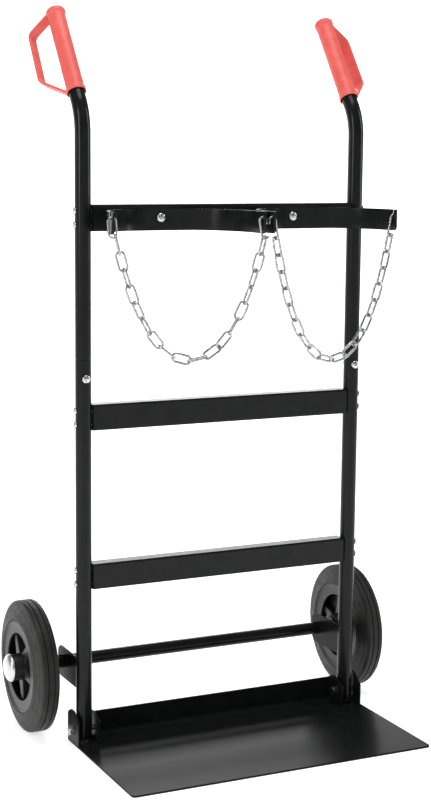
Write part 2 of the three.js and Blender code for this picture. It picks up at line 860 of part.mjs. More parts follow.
for (const [side, sign] of Object.entries(sides)) {
  const x = sign * uprightX;
  place(`lower_tube_${side}`, lowerTube(x), blackPaint);
  place(`handle_tube_${side}`, handleTube(x), blackPaint);
  place(`foot_plug_${side}`, footPlug(x), blackPlastic);
  placeGrip(side, sign);

  const front = -tubeRadius - gap;
  const back = tubeRadius + gap;
  const jointSeat = [x, front, jointBoltHeight];
  place(`joint_bolt_${side}`, panHead(jointSeat, [0, 1, 0], 6, 3.6, 2.9, 31), zinc);
  place(
    `joint_nut_${side}`,
    nut([x, back, jointBoltHeight], [x, back + 5, jointBoltHeight], 10, 3.3),
    zinc,
  );

  for (const name of Object.keys(crossbarHeights)) {
    screwHeights(name).forEach((height, index) => {
      const seat = [x + sign * (tubeRadius + gap), 0, height];
      const screwName = `crossbar_screw_${name}_${side}_${index + 1}`;
      place(screwName, panHead(seat, [-sign, 0, 0], 5, 3.2, 2.4, 30), zinc);
    });
  }

  place(`toe_bolt_${side}`, toeBolt(sign), zinc);
  const nutSeat = x + sign * (earSpacing / 2 + gap);
  place(
    `toe_nut_${side}`,
    nut([nutSeat, 0, toeBoltHeight], [nutSeat + sign * 6.5, 0, toeBoltHeight], 13, 4.3),
    zinc,
  );

  place(`cradle_${side}`, cradle(sign), blackPaint);
  const cradleSeat = [sign * cradleBoltX, crossbarFront - 4.5, crossbarHeights.top];
  place(`cradle_bolt_${side}`, panHead(cradleSeat, [0, 1, 0], 6.5, 3.8, 2.9, 15), zinc);
  const cradleNut = [sign * cradleBoltX, crossbarFront + sheet + gap, crossbarHeights.top];
  place(
    `cradle_nut_${side}`,
    nut(cradleNut, [cradleNut[0], cradleNut[1] + 5, cradleNut[2]], 10, 3.3),
    zinc,
  );

  place(`axle_bracket_${side}`, axleBracket(x), blackPaint);
  placeWheel(side, sign);
  placeChain(side, sign);
}

export default cart;
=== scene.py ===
"""Two-cylinder torch cart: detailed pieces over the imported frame, materials, light and camera."""

import math

import bmesh
import bpy
from mathutils import Matrix, Vector


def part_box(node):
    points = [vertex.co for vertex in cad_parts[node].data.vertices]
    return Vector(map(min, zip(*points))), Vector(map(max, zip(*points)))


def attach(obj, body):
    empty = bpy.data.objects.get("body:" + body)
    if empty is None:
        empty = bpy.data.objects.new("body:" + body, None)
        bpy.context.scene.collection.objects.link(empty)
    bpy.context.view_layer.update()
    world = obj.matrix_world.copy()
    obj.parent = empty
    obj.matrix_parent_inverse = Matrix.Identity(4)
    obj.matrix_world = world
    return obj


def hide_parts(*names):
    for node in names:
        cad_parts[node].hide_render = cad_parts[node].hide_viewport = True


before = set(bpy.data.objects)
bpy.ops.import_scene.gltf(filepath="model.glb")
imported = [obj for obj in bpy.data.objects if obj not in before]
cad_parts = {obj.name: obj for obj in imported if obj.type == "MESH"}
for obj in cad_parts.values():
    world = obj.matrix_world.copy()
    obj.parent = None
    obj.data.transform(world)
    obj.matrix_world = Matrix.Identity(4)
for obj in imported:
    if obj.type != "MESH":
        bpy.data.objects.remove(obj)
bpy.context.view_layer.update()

MM = 0.001
SIDES = {"left": -1, "right": 1}
X_AXIS = Vector((1, 0, 0))
Y_AXIS = Vector((0, 1, 0))
Z_AXIS = Vector((0, 0, 1))

# Takes an outline of (y, z) and its depth to the cart's axes, with the depth along X.
SIDE_PLANE = Matrix((Y_AXIS, Z_AXIS, X_AXIS)).transposed().to_4x4()


# ------------------------------------------------------------------ camera


def add_camera():
    """Places the camera to the front left of the cart and a little above it."""
    yaw = math.radians(25.644)
    pitch = math.radians(8.669)
    roll = math.radians(0.546)
    forward = Vector((
        math.sin(yaw) * math.cos(pitch),
        math.cos(yaw) * math.cos(pitch),
        -math.sin(pitch),
    ))
    level_right = Vector((math.cos(yaw), -math.sin(yaw), 0))
    level_up = level_right.cross(forward)
    right = level_right * math.cos(roll) + level_up * math.sin(roll)
    up = level_up * math.cos(roll) - level_right * math.sin(roll)
    turn = Matrix((right, up, -forward)).transposed()
    data = bpy.data.cameras.new("camera")
    data.sensor_width = 36
    data.lens = 75.29
    data.clip_end = 100
    camera = bpy.data.objects.new("camera", data)
    place = Vector((-1.0865, -2.2216, 0.8846))
    camera.matrix_world = Matrix.Translation(place) @ turn.to_4x4()
    bpy.context.scene.collection.objects.link(camera)
    bpy.context.scene.camera = camera


add_camera()


# ------------------------------------------------------------------ sizes read from the CAD


def low(node):
    """Lowest corner of a CAD node, in millimetres."""
    return Vector(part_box(node)[0]) / MM


def high(node):
    """Highest corner of a CAD node, in millimetres."""
    return Vector(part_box(node)[1]) / MM


def middle(node):
    """Middle of a CAD node's box, in millimetres."""
    return (low(node) + high(node)) / 2


tube_x = middle("lower_tube_right").x
tube_y = middle("lower_tube_right").y
tube_radius = (high("lower_tube_right").x - low("lower_tube_right").x) / 2
tube_wall = 2
tube_bore = tube_radius - tube_wall
seam_gap = 0.3
seam_height = high("lower_tube_right").z + seam_gap
wheel_x = middle("tyre_right").x
wheel_y = middle("tyre_right").y
wheel_z = middle("tyre_right").z
handle_lean = math.radians(36)
bend_height = 924.4
bend_radius = 80
grip_start = 39
grip_length = 149.5
guard_turn = {"left": math.radians(50), "right": math.radians(28)}
ear_sheet = 3
ear_face = 17.75
cradle_x = 116
cradle_radius = 110
cradle_sheet = 3
cradle_arm = 30
hanger_setback = 8


# ------------------------------------------------------------------ materials


def new_material(name, color, roughness, metallic=0.0, specular=0.5):
    """A Principled material. Nodes may vary its colour and roughness around these values."""
    material = bpy.data.materials.new(name)
    material.use_nodes = True
    shader = material.node_tree.nodes["Principled BSDF"]
    shader.inputs["Base Color"].default_value = (*color, 1)
    shader.inputs["Roughness"].default_value = roughness
    shader.inputs["Metallic"].default_value = metallic
    shader.inputs["Specular IOR Level"].default_value = specular
    material.diffuse_color = (*color, 1)
    return material


def noise_node(material, scale, detail=3.0):
    """A noise in the object's own coordinates. Scale is in features per metre."""
    nodes = material.node_tree.nodes
    links = material.node_tree.links
    place = nodes.new("ShaderNodeTexCoord")
    noise = nodes.new("ShaderNodeTexNoise")
    noise.inputs["Scale"].default_value = scale
    noise.inputs["Detail"].default_value = detail
    links.new(place.outputs["Object"], noise.inputs["Vector"])
    return noise.outputs["Fac"]


def vary(material, socket, fac, low_value, high_value, start=0.3, end=0.7):
    """Drives a shader number between two values by a noise."""
    nodes = material.node_tree.nodes
    links = material.node_tree.links
    spread = nodes.new("ShaderNodeMapRange")
    spread.inputs["From Min"].default_value = start
    spread.inputs["From Max"].default_value = end
    spread.inputs["To Min"].default_value = low_value
    spread.inputs["To Max"].default_value = high_value
    links.new(fac, spread.inputs["Value"])
    links.new(spread.outputs["Result"], nodes["Principled BSDF"].inputs[socket])


def vary_color(material, fac, first, second, start=0.35, end=0.65):
    """Blends the base colour between two tones by a noise."""
    nodes = material.node_tree.nodes
    links = material.node_tree.links
    ramp = nodes.new("ShaderNodeValToRGB")
    ramp.color_ramp.elements[0].position = start
    ramp.color_ramp.elements[0].color = (*first, 1)
    ramp.color_ramp.elements[1].position = end
    ramp.color_ramp.elements[1].color = (*second, 1)
    links.new(fac, ramp.inputs["Fac"])
    links.new(ramp.outputs["Color"], nodes["Principled BSDF"].inputs["Base Color"])


def bump(material, fac, strength, depth_mm):
    """Raises the surface by a noise."""
    nodes = material.node_tree.nodes
    links = material.node_tree.links
    node = nodes.new("ShaderNodeBump")
    node.inputs["Strength"].default_value = strength
    node.inputs["Distance"].default_value = depth_mm * MM
    links.new(fac, node.inputs["Height"])
    links.new(node.outputs["Normal"], nodes["Principled BSDF"].inputs["Normal"])


def powder_coat(name, roughness, spread, specular):
    """Black powder coat with fine orange peel."""
    dark = (0.0062, 0.0068, 0.0070)
    light = (0.0090, 0.0096, 0.0098)
    smoothest = roughness - spread
    roughest = roughness + spread
    material = new_material(name, (0.0075, 0.0080, 0.0082), roughness, specular=specular)
    vary_color(material, noise_node(material, 45), dark, light)
    vary(material, "Roughness", noise_node(material, 130, 4), smoothest, roughest)
    bump(material, noise_node(material, 420, 1), 0.02, 0.05)
    return material


paint = powder_coat("black_powder_coat", 0.20, 0.03, 0.18)
plate_paint = powder_coat("black_powder_coat_plate", 0.22, 0.02, 0.07)

zinc = new_material("zinc_plated_steel", (0.56, 0.57, 0.58), 0.24, 1.0)
vary_color(zinc, noise_node(zinc, 260), (0.48, 0.49, 0.50), (0.64, 0.65, 0.66))
vary(zinc, "Roughness", noise_node(zinc, 520, 4), 0.17, 0.31)
bump(zinc, noise_node(zinc, 1500, 2), 0.05, 0.1)

chain_zinc = new_material("zinc_plated_wire", (0.42, 0.425, 0.43), 0.26, 1.0)
vary_color(chain_zinc, noise_node(chain_zinc, 180), (0.33, 0.335, 0.34), (0.52, 0.525, 0.53))
vary(chain_zinc, "Roughness", noise_node(chain_zinc, 520, 4), 0.20, 0.34)

chrome_cap = new_material("bright_cap", (0.66, 0.66, 0.67), 0.30, 1.0)
vary_color(chrome_cap, noise_node(chrome_cap, 90), (0.62, 0.62, 0.63), (0.70, 0.70, 0.70))
vary(chrome_cap, "Roughness", noise_node(chrome_cap, 400, 3), 0.26, 0.36)

red = new_material("red_plastic", (0.75, 0.122, 0.102), 0.40, specular=0.35)
vary_color(red, noise_node(red, 60), (0.72, 0.110, 0.092), (0.78, 0.134, 0.112))
vary(red, "Roughness", noise_node(red, 300, 3), 0.36, 0.50)
bump(red, noise_node(red, 1100, 2), 0.06, 0.1)
red_shader = red.node_tree.nodes["Principled BSDF"]
red_shader.inputs["Subsurface Weight"].default_value = 0.12
red_shader.inputs["Subsurface Radius"].default_value = (0.004, 0.001, 0.001)
red_shader.inputs["Subsurface Scale"].default_value = 0.5

black_plastic = new_material("black_plastic", (0.015, 0.015, 0.015), 0.45)
vary(black_plastic, "Roughness", noise_node(black_plastic, 400, 3), 0.38, 0.55)
bump(black_plastic, noise_node(black_plastic, 900, 2), 0.15, 0.2)

rubber = new_material("grey_rubber", (0.017, 0.0175, 0.0165), 0.50, specular=0.25)
vary_color(rubber, noise_node(rubber, 38, 5), (0.013, 0.0135, 0.0128), (0.021, 0.0215, 0.020))
vary(rubber, "Roughness", noise_node(rubber, 160, 4), 0.42, 0.60)
bump(rubber, noise_node(rubber, 800, 3), 0.10, 0.15)

rim_plastic = new_material("wheel_plastic", (0.012, 0.0125, 0.012), 0.36, specular=0.35)
vary_color(rim_plastic, noise_node(rim_plastic, 50), (0.009, 0.0095, 0.009), (0.016, 0.0165, 0.016))
vary(rim_plastic, "Roughness", noise_node(rim_plastic, 300, 3), 0.30, 0.44)
bump(rim_plastic, noise_node(rim_plastic, 900, 2), 0.06, 0.1)


# ------------------------------------------------------------------ mesh helpers


def piece(name, bm, material, body, nodes=(), sharp=32):
    """Turns a bmesh in millimetres into a piece that rides on a body and stands for CAD nodes.

    Edges that turn by more than `sharp` degrees are shaded sharp.
    """
    bmesh.ops.recalc_face_normals(bm, faces=bm.faces)
    limit = math.radians(sharp)
    for face in bm.faces:
        face.smooth = True
    for edge in bm.edges:
        if len(edge.link_faces) == 2 and edge.calc_face_angle() > limit:
            edge.smooth = False
    bmesh.ops.scale(bm, vec=(MM, MM, MM), verts=bm.verts)
    mesh = bpy.data.meshes.new(name)
    bm.to_mesh(mesh)
    bm.free()
    mesh.materials.append(material)
    thing = bpy.data.objects.new(name, mesh)
    bpy.context.scene.collection.objects.link(thing)
    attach(thing, body)
    if nodes:
        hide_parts(*nodes)
    shading = thing.modifiers.new("even_shading", "WEIGHTED_NORMAL")
    shading.keep_sharp = True
    shading.weight = 60
    return thing


def ring_faces(bm, first, second):
    """Faces between two rings of vertices, where either may be a single pole."""
    if len(first) == 1 and len(second) == 1:
        return
    count = max(len(first), len(second))
    for index in range(count):
        after = (index + 1) % count
        corners = []
        for ring, picks in ((first, (index, after)), (second, (after, index))):
            if len(ring) == 1:
                corners.append(ring[0])
            else:
                corners.extend(ring[pick] for pick in picks)
        bm.faces.new(corners)


def revolve(bm, profile, place=None, segments=64, closed=True):
    """Turns a profile of (radius, height) about Z, then moves it by the matrix `place`."""
    place = place or Matrix.Identity(4)
    rings = []
    for radius, height in profile:
        count = 1 if radius < 1e-6 else segments
        ring = []
        for index in range(count):
            angle = 2 * math.pi * index / segments
            spot = Vector((radius * math.cos(angle), radius * math.sin(angle), height))
            ring.append(bm.verts.new(place @ spot))
        rings.append(ring)
    for first, second in zip(rings, rings[1:]):
        ring_faces(bm, first, second)
    if closed:
        ring_faces(bm, rings[-1], rings[0])


def along(direction, origin):
    """A matrix that takes Z to a direction and the origin to a point."""
    forward = Vector(direction).normalized()
    side = X_AXIS if abs(forward.x) < 0.9 else Y_AXIS
    across = (side - forward * forward.dot(side)).normalized()
    turn = Matrix((across, forward.cross(across), forward)).transposed()
    return Matrix.Translation(Vector(origin)) @ turn.to_4x4()


def arc(center, radius, start, end, steps):
    """Points of an arc between two angles in degrees."""
    points = []
    for step in range(steps + 1):
        angle = math.radians(start + (end - start) * step / steps)
        points.append((center[0] + radius * math.cos(angle), center[1] + radius * math.sin(angle)))
    return points


def rounded_corner_points(corners, radius, steps):
    """A closed outline with every corner rounded."""
    points = []
    count = len(corners)
    for index, corner in enumerate(corners):
        spot = Vector(corner)
        before = (Vector(corners[index - 1]) - spot).normalized()
        after = (Vector(corners[(index + 1) % count]) - spot).normalized()
        half = before.angle(after) / 2
        reach = radius / math.tan(half)
        start = spot + before * reach
        end = spot + after * reach
        center = spot + (before + after).normalized() * (radius / math.sin(half))
        first = start - center
        last = end - center
        sweep = math.atan2(first.x * last.y - first.y * last.x, first.dot(last))
        base = math.atan2(first.y, first.x)
        for step in range(steps + 1):
            angle = base + sweep * step / steps
            points.append((
                center.x + radius * math.cos(angle),
                center.y + radius * math.sin(angle),
            ))
    return points


def sweep(bm, section, path, normal, closed=False, scales=None):
    """Moves a section of (a, b) points along a path. b runs along `normal` at the start.

    `scales` holds the size of the section at each point of the path.
    """
    points = [Vector(point) for point in path]
    count = len(points)
    rings = []
    reference = Vector(normal)
    for index, point in enumerate(points):
        if closed:
            ahead = points[(index + 1) % count]
            behind = points[index - 1]
        else:
            ahead = points[min(index + 1, count - 1)]
            behind = points[max(index - 1, 0)]
        tangent = (ahead - behind).normalized()
        reference = (reference - tangent * reference.dot(tangent)).normalized()
        across = tangent.cross(reference)
        size = scales[index] if scales else 1
        rings.append([
            bm.verts.new(point + (across * a + reference * b) * size) for a, b in section
        ])
    for first, second in zip(rings, rings[1:]):
        ring_faces(bm, first, second)
    if closed:
        ring_faces(bm, rings[-1], rings[0])
    else:
        bm.faces.new(rings[0])
        bm.faces.new(list(reversed(rings[-1])))


def circle(radius, count):
    """Section of a round wire or tube."""
    return [
        (radius * math.cos(2 * math.pi * i / count), radius * math.sin(2 * math.pi * i / count))
        for i in range(count)
    ]


def prism(bm, outline, depth, place):
    """An outline of (a, b) points made solid from 0 to depth along Z of `place`."""
    lower = [bm.verts.new(place @ Vector((a, b, 0))) for a, b in outline]
    upper = [bm.verts.new(place @ Vector((a, b, depth))) for a, b in outline]
    bm.faces.new(list(reversed(lower)))
    bm.faces.new(upper)
    ring_faces(bm, lower, upper)


def side_prism(bm, outline, depth, start_x):
    """An outline of (y, z) points made solid along X."""
    prism(bm, outline, depth, Matrix.Translation((start_x, 0, 0)) @ SIDE_PLANE)


def bevel_sharp(bm, width, segments=2, angle=40):
    """Rounds the edges that turn by more than an angle."""
    bmesh.ops.recalc_face_normals(bm, faces=bm.faces)
    limit = math.radians(angle)
    edges = [e for e in bm.edges if len(e.link_faces) == 2 and e.calc_face_angle() > limit]
    bmesh.ops.bevel(
        bm,
        geom=edges,
        offset=width,
        segments=segments,
        profile=0.5,
        affect="EDGES",
        clamp_overlap=True,
    )


def carved(bm, cutters):
    """Takes the cutters, each a bmesh, out of a bmesh and returns the result."""
    def temporary(source, name):
        bmesh.ops.recalc_face_normals(source, faces=source.faces)
        mesh = bpy.data.meshes.new(name)
        source.to_mesh(mesh)
        source.free()
        thing = bpy.data.objects.new(name, mesh)
        bpy.context.scene.collection.objects.link(thing)
        return thing

    body = temporary(bm, "carve_body")
    tools = [temporary(cutter, "carve_tool") for cutter in cutters]
    for tool in tools:
        modifier = body.modifiers.new("cut", "BOOLEAN")
        modifier.operation = "DIFFERENCE"
        modifier.solver = "EXACT"
        modifier.object = tool
    bpy.context.view_layer.update()
    graph = bpy.context.evaluated_depsgraph_get()
    result = bmesh.new()
    result.from_mesh(body.evaluated_get(graph).to_mesh())
    for thing in [body, *tools]:
        mesh = thing.data
        bpy.data.objects.remove(thing)
        bpy.data.meshes.remove(mesh)
    return result


def cylinder_cutter(start, end, radius, segments=32):
    """A round bar for carving a hole."""
    bm = bmesh.new()
    axis = Vector(end) - Vector(start)
    revolve(bm, [(0, 0), (radius, 0), (radius, axis.length), (0, axis.length)],
            along(axis, start), segments, closed=False)
    return bm


def box_mesh(lower, upper):
    """A block between two corners."""
    bm = bmesh.new()
    outline = [
        (lower[0], lower[1]),
        (upper[0], lower[1]),
        (upper[0], upper[1]),
        (lower[0], upper[1]),
    ]
    prism(bm, outline, upper[2] - lower[2], Matrix.Translation((0, 0, lower[2])))
    return bm


def merge(target, source):
    """Moves all of a bmesh into another one."""
    mesh = bpy.data.meshes.new("merge")
    source.to_mesh(mesh)
    source.free()
    target.from_mesh(mesh)
    bpy.data.meshes.remove(mesh)


# ------------------------------------------------------------------ uprights and handles


def add_lower_tube(side, sign):
    """Lower half of an upright, open at both ends."""
    bm = bmesh.new()
    bottom = low(f"lower_tube_{side}").z
    top = high(f"lower_tube_{side}").z
    revolve(bm, [
        (tube_bore, bottom),
        (tube_radius - 0.7, bottom),
        (tube_radius - 0.2, bottom + 0.2),
        (tube_radius, bottom + 0.8),
        (tube_radius, top - 0.6),
        (tube_radius - 0.3, top - 0.1),
        (tube_radius - 0.7, top),
        (tube_bore, top),
    ], Matrix.Translation((sign * tube_x, tube_y, 0)), 64)
    piece(f"upright_lower_{side}", bm, paint, "frame", [f"lower_tube_{side}"])


def handle_path(x, start_height, distance):
    """Centreline of a handle from a height to a distance past the corner of its bend."""
    reach = bend_radius * math.tan(handle_lean / 2)
    points = [Vector((x, tube_y, start_height))]
    straight_end = bend_height - reach
    for height in (start_height + 1, straight_end - 40):
        points.append(Vector((x, tube_y, height)))
    steps = 20
    for step in range(steps + 1):
        angle = handle_lean * step / steps
        points.append(Vector((
            x,
            tube_y + bend_radius * (1 - math.cos(angle)),
            straight_end + bend_radius * math.sin(angle),
        )))
    for past in (distance - 30, distance):
        points.append(Vector((
            x,
            tube_y + past * math.sin(handle_lean),
            bend_height + past * math.cos(handle_lean),
        )))
    return points


def add_handle_tube(side, sign):
    """Upper half of an upright, bent back at the top, with the spigot under its seam."""
    bm = bmesh.new()
    x = sign * tube_x
    path = handle_path(x, seam_height, grip_start + grip_length - 9)
    sizes = [0.95] + [1] * (len(path) - 1)
    sweep(bm, circle(tube_radius, 64), path, Y_AXIS, scales=sizes)
    spigot_radius = tube_bore - 0.3
    spigot_bore = tube_bore - 2.1
    spigot_bottom = low(f"handle_tube_{side}").z
    spigot_top = seam_height + 5
    revolve(bm, [
        (spigot_bore, spigot_bottom),
        (spigot_radius, spigot_bottom),
        (spigot_radius, spigot_top),
        (spigot_bore, spigot_top),
    ], Matrix.Translation((x, tube_y, 0)), 48)
    piece(f"upright_handle_{side}", bm, paint, "frame",
          [f"handle_tube_{side}"])


def add_foot_plug(side, sign):
    """Plastic insert with a domed edge."""
    bm = bmesh.new()
    bottom = low(f"foot_plug_{side}").z
    top = high(f"foot_plug_{side}").z
    revolve(bm, [
        (0, bottom),
        (tube_radius - 1.2, bottom),
        (tube_radius - 0.3, bottom + 0.5),
        (tube_radius - 0.1, bottom + 1.4),
        (tube_radius - 0.5, bottom + 2.1),
        (tube_bore - 0.4, bottom + 2.2),
        (tube_bore - 0.6, top),
        (0, top),
    ], Matrix.Translation((sign * tube_x, tube_y, 0)), 48, closed=False)
    piece(f"foot_insert_{side}", bm, black_plastic, "frame", [f"foot_plug_{side}"])


# ------------------------------------------------------------------ grips


def open_rounded(corners, radius, steps):
    """An open run of (a, b) points with its inner corners rounded."""
    rounded = rounded_corner_points(corners, radius, steps)
    inner = rounded[steps + 1:-(steps + 1)]
    return [corners[0], *inner, corners[-1]]


def spaced(points, spacing):
    """The same run with extra points on its long straights."""
    result = [Vector(points[0])]
    for start, end in zip(points, points[1:]):
        first = Vector(start)
        last = Vector(end)
        pieces = max(1, math.ceil((last - first).length / spacing))
        for index in range(1, pieces + 1):
            result.append(first.lerp(last, index / pieces))
    return result


def add_grip(side, sign):
    """Moulded grip with a closed rounded top, a collar and a knuckle guard."""
    lean_axis = Vector((0, math.sin(handle_lean), math.cos(handle_lean)))
    back = Vector((0, math.cos(handle_lean), -math.sin(handle_lean)))
    turn = guard_turn[side]
    outward = Vector((sign, 0, 0)) * math.cos(turn) + back * math.sin(turn)
    origin = Vector((
        sign * tube_x,
        tube_y + grip_start * math.sin(handle_lean),
        bend_height + grip_start * math.cos(handle_lean),
    ))
    across = lean_axis.cross(outward)
    basis = Matrix((outward, across, lean_axis)).transposed().to_4x4()
    place = Matrix.Translation(origin) @ basis

    bm = bmesh.new()
    bore = tube_radius + 0.35
    bore_end = grip_length - 8
    collar = 14.55
    revolve(bm, [
        (bore, bore_end),
        (bore, 9),
        (bore + 0.7, 3),
        (bore + 1.0, 0.4),
        (bore + 1.5, 0),
        (14.2, 0.1),
        (collar, 0.6),
        (collar, 5.6),
        (14.35, 6.4),
        (13.7, 7.6),
        (13.4, 9.4),
        (13.3, 30),
        (13.2, 75),
        (13.2, 110),
        (13.3, 136),
        (13.5, 138.2),
        (14.3, 139.6),
        (collar, 140.6),
        (collar, 144.4),
        (14.2, 145.8),
        (13.2, 147.2),
        (11.6, 148.2),
        (8.5, 149.0),
        (4.5, 149.4),
        (0, grip_length),
        (0, bore_end),
    ], place, 72, closed=False)

    half_width = 9
    half_thickness = 2
    section = rounded_corner_points([
        (-half_width, -half_thickness),
        (half_width, -half_thickness),
        (half_width, half_thickness),
        (-half_width, half_thickness),
    ], 1.3, 4)
    run = open_rounded([(11, 3), (49, 44), (47, 127), (11, 142)], 11, 10)
    path = [place @ spot for spot in spaced([(a, 0, b) for a, b in run], 5)]
    normal = (path[1] - path[0]).cross(across)
    sweep(bm, section, path, normal)
    piece(f"grip_moulded_{side}", bm, red, "frame", [f"grip_{side}"], sharp=50)


# ------------------------------------------------------------------ crossbars


def channel_outline(node):
    """Folded channel section in (y, z), open to the back."""
    front, bottom = low(node).y, low(node).z
    back, top = high(node).y, high(node).z
    sheet = 2
    outer = 3
    inner = outer - sheet
    return [
        (back, bottom),
        (back, bottom + sheet),
        *arc((front + outer, bottom + outer), inner, 270, 180, 4),
        *arc((front + outer, top - outer), inner, 180, 90, 4),
        (back, top - sheet),
        (back, top),
        *arc((front + outer, top - outer), outer, 90, 180, 8),
        *arc((front + outer, bottom + outer), outer, 180, 270, 8),
    ]


def add_crossbar(name):
    """Channel crossbar with welded end tabs."""
    node = f"crossbar_{name}"
    start, end = low(node), high(node)
    bm = bmesh.new()
    side_prism(bm, channel_outline(node), end.x - start.x, start.x)
    inset = 2.05
    tab_back = end.y - 3
    tab = rounded_corner_points([
        (start.y + inset, start.z + inset),
        (tab_back, start.z + inset),
        (tab_back, end.z - inset),
        (start.y + inset, end.z - inset),
    ], 2, 4)
    for x in (start.x + 0.3, end.x - 2.3):
        side_prism(bm, tab, 2, x)
    bevel_sharp(bm, 0.35)
    piece(f"channel_{name}", bm, paint, "frame", [node])


# ------------------------------------------------------------------ fasteners


def cross_cutter(size, depth):
    """The two tapered slots of a screw head's cross recess, with their mouth at Z = 0."""
    half_slot = size * 0.24
    wide = [(-size, -half_slot), (size, -half_slot), (size, half_slot), (-size, half_slot)]
    cutters = []
    for turn in (0, 90):
        bm = bmesh.new()
        rotation = Matrix.Rotation(math.radians(turn), 4, "Z")
        lower = [bm.verts.new(rotation @ Vector((a * 0.35, b * 0.5, -depth))) for a, b in wide]
        upper = [bm.verts.new(rotation @ Vector((a, b, 0.5))) for a, b in wide]
        bm.faces.new(list(reversed(lower)))
        bm.faces.new(upper)
        ring_faces(bm, lower, upper)
        cutters.append(bm)
    return cutters


def pan_head(radius, height, shank_radius, shank_length):
    """Pan head screw with a cross recess, its seat at Z = 0 and head towards +Z."""
    bm = bmesh.new()
    profile = [
        (0, -shank_length),
        (shank_radius - 0.6, -shank_length),
        (shank_radius, -shank_length + 0.6),
        (shank_radius, 0),
        (radius - 0.3, 0),
        (radius, 0.3),
        (radius, height * 0.35),
    ]
    steps = 8
    for step in range(1, steps + 1):
        angle = math.pi / 2 * step / steps
        profile.append((
            radius * math.cos(angle) ** 0.75 if step < steps else 0,
            height * (0.35 + 0.65 * math.sin(angle)),
        ))
    revolve(bm, profile, None, 40, closed=False)
    cutters = cross_cutter(radius * 0.58, height * 0.55)
    for cutter in cutters:
        bmesh.ops.translate(cutter, vec=(0, 0, height), verts=cutter.verts)
    return carved(bm, cutters)


def hexagon(across_flats, height, hole=0.0, both=True):
    """Hexagon from Z = 0 to height, with its upper corners turned off, or both ends' corners."""
    segments = 72
    flat = across_flats / 2 * 0.96
    slope = math.tan(math.radians(30))
    chamfer = 0.5
    bm = bmesh.new()

    def side_points(angle):
        local = (angle + math.pi / 6) % (math.pi / 3) - math.pi / 6
        reach = across_flats / 2 / math.cos(local)
        drop = max(0.0, (reach - flat) * slope)
        lower = [(flat, 0), (reach, drop)] if both else [(reach, 0)]
        return [*lower, (reach, height - drop), (flat, height)]

    angles = [2 * math.pi * index / segments for index in range(segments)]
    columns = [side_points(angle) for angle in angles]
    if hole:
        mouth = hole + chamfer
        bore = [(mouth, height), (hole, height - chamfer), (hole, chamfer), (mouth, 0)]
        columns = [[*column, *bore] for column in columns]
    rings = []
    for level in zip(*columns):
        rings.append([
            bm.verts.new((radius * math.cos(angle), radius * math.sin(angle), z))
            for (radius, z), angle in zip(level, angles)
        ])
    for first, second in zip(rings, rings[1:]):
        ring_faces(bm, first, second)
    if hole:
        ring_faces(bm, rings[-1], rings[0])
    else:
        bm.faces.new(list(reversed(rings[0])))
        bm.faces.new(rings[-1])
    return bm


def placed_copy(source, place):
    """A copy of a bmesh moved by a matrix."""
    copy = source.copy()
    bmesh.ops.transform(copy, matrix=place, verts=copy.verts)
    return copy


def add_fastener(name, source, place, node):
    """Places a copy of a fastener over its CAD node."""
    piece(name, placed_copy(source, place), zinc, "frame", [node])


def add_toe_fasteners(side, sign, bolt_head, nut):
    """Bolt and nut through the ears and the foot of one upright."""
    node = f"toe_bolt_{side}"
    height = middle(node).z
    place = along((-sign, 0, 0), (sign * (tube_x - ear_face), tube_y, height))
    bm = placed_copy(bolt_head, place)
    shank_end = -42.9
    revolve(bm, [
        (0, shank_end),
        (3.2, shank_end),
        (3.9, shank_end + 0.7),
        (3.9, 1),
        (0, 1),
    ], place, 32, closed=False)
    piece(f"toe_hex_bolt_{side}", bm, zinc, "frame", [node])
    place = along((sign, 0, 0), (sign * (tube_x + ear_face), tube_y, height))
    add_fastener(f"toe_hex_nut_{side}", nut, place, f"toe_nut_{side}")


def add_fasteners():
    """All screws, bolts and nuts of the frame."""
    screw = pan_head(5, 3.2, 2.4, 29)
    joint = pan_head(6, 3.6, 2.9, 30)
    cradle_screw = pan_head(6.5, 3.8, 2.9, 14.6)
    small_nut = hexagon(10, 5, 3.1)
    large_nut = hexagon(13, 6.5, 4.0)
    large_head = hexagon(13, 5.3, both=False)
    seat_distance = tube_radius + 0.1
    for side, sign in SIDES.items():
        for bar in ("top", "middle", "lower"):
            for index in (1, 2):
                node = f"crossbar_screw_{bar}_{side}_{index}"
                seat = Vector((sign * (tube_x + seat_distance), tube_y, middle(node).z))
                spin = Matrix.Rotation(0.7 * index + 0.9 * sign, 4, "Z")
                place = along((sign, 0, 0), seat) @ spin
                add_fastener(f"screw_{bar}_{side}_{index}", screw, place, node)

        node = f"joint_bolt_{side}"
        height = middle(node).z
        seat = Vector((sign * tube_x, tube_y - seat_distance, height))
        place = along((0, -1, 0), seat) @ Matrix.Rotation(0.5 * sign, 4, "Z")
        add_fastener(f"joint_screw_{side}", joint, place, node)
        seat = Vector((sign * tube_x, tube_y + seat_distance, height))
        add_fastener(f"joint_hex_{side}", small_nut, along((0, 1, 0), seat), f"joint_nut_{side}")

        node = f"cradle_bolt_{side}"
        seat = Vector((middle(node).x, low(node).y + 3.8, middle(node).z))
        place = along((0, -1, 0), seat) @ Matrix.Rotation(0.4 + sign, 4, "Z")
        add_fastener(f"cradle_screw_{side}", cradle_screw, place, node)
        node = f"cradle_nut_{side}"
        seat = Vector((middle(node).x, low(node).y, middle(node).z))
        add_fastener(f"cradle_hex_{side}", small_nut, along((0, 1, 0), seat), node)

        add_toe_fasteners(side, sign, large_head, large_nut)
    for source in (screw, joint, cradle_screw, small_nut, large_nut, large_head):
        source.free()


# ------------------------------------------------------------------ toe plate


